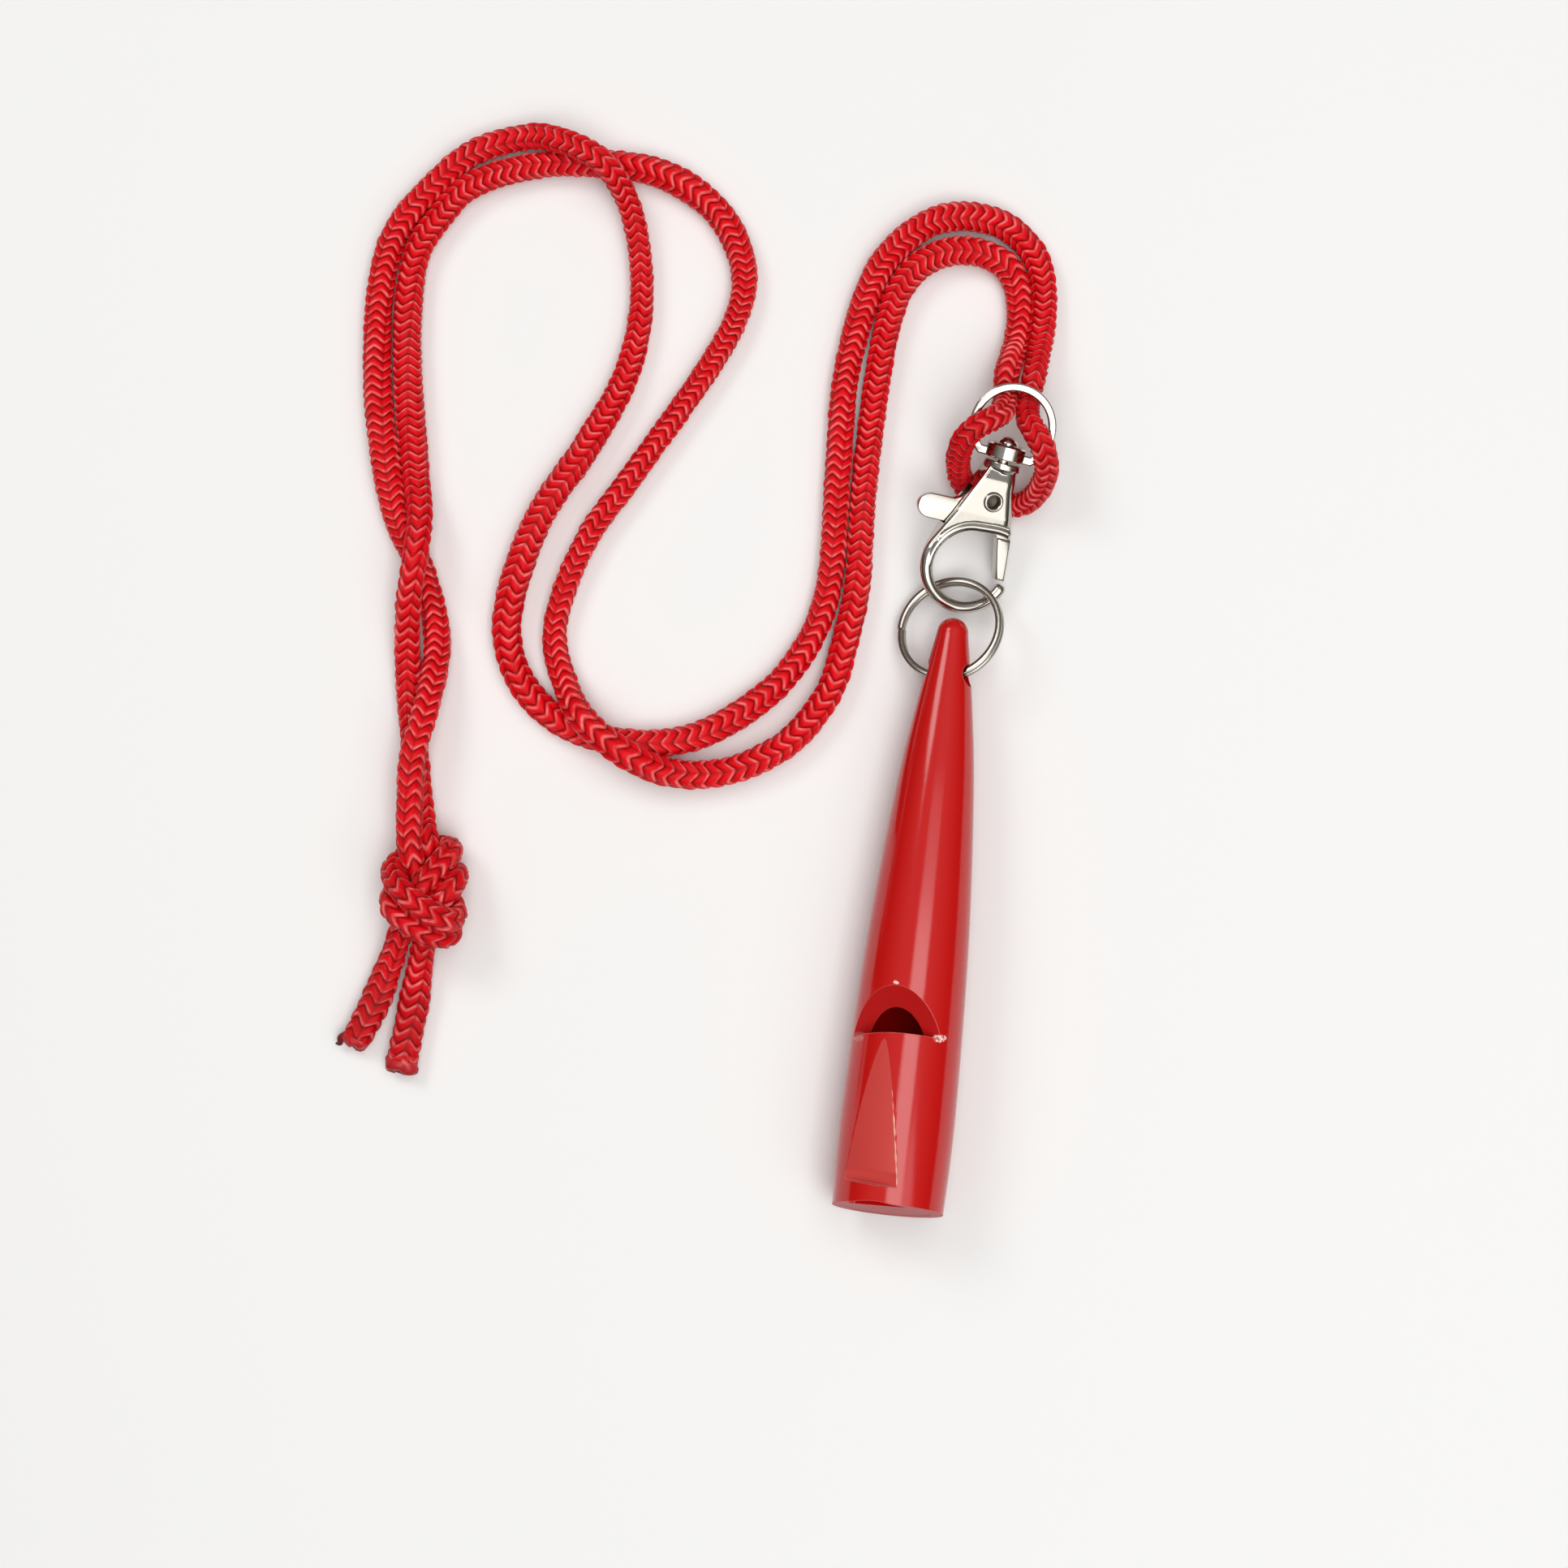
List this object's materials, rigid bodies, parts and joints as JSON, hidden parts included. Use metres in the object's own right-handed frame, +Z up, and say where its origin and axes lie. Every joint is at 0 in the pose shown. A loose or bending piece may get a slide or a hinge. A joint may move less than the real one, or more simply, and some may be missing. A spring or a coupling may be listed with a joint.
{
  "type": "dog whistle",
  "caption": "Horn-shaped plastic dog whistle with a side window, hung by a split ring and a swivel trigger clip on a doubled braided cord that is hitched at the clip and knotted at its ends.",
  "frame": {"origin": "on the table under the middle of the whistle, split ring and clip, taken without the cord", "axes": "+Z up from the table; +Y from the mouthpiece to the clip; +X to the right as it is seen from above"},
  "size_m": [0.0988, 0.15, 0.0154],
  "materials": {
    "whistle_red": "glossy moulded red plastic",
    "nickel": "bright nickel plating on cast metal and wire",
    "spring_steel": "plain spring steel",
    "cord_red": "braided red synthetic cord",
    "seal_red": "cord end melted hard"
  },
  "bodies": {
    "lanyard": {"swivel_eye": "nickel", "cord_hitch": "cord_red", "cord_strand_right": "cord_red", "cord_strand_left": "cord_red", "cord_knot": "cord_red", "cord_tail_left": "cord_red", "cord_tail_right": "cord_red", "tail_seal_left": "seal_red", "tail_seal_right": "seal_red"},
    "clip": {"clip_body": "nickel", "gate_rivet": "nickel", "gate_spring": "spring_steel", "swivel_pin": "nickel"},
    "gate": {"gate_lever": "nickel"},
    "ring": {"split_ring": "nickel"},
    "whistle": {"whistle_body": "whistle_red", "windway_plug": "whistle_red"}
  },
  "joints": [
    {"name": "swivel_spin", "type": "hinge", "parent": "lanyard", "child": "clip", "pos_m": [0.00806, 0.04554, 0.00695], "axis": [0.2532, 0.9448, 0.2079], "continuous": true, "deforming": ["cord_hitch"]},
    {"name": "gate_press", "type": "hinge", "parent": "clip", "child": "gate", "pos_m": [0.00637, 0.04096, 0.00606], "axis": [-0.2309, 0.2677, -0.9354], "range_deg": [0, 16], "stiffness_Nm_per_rad": 0.02, "springref_deg": -5.73},
    {"name": "ring_swing", "type": "hinge", "parent": "clip", "child": "ring", "pos_m": [0.00115, 0.02335, 0.0045], "axis": [-0.1324, -0.9418, 0.309], "range_deg": [-3, 40]},
    {"name": "whistle_swing", "type": "hinge", "parent": "ring", "child": "whistle", "pos_m": [0.00025, 0.01695, 0.0066], "axis": [-0.9602, 0.1049, -0.2588], "range_deg": [0, 80], "deforming": ["cord_strand_right", "cord_strand_left"]}
  ]
}
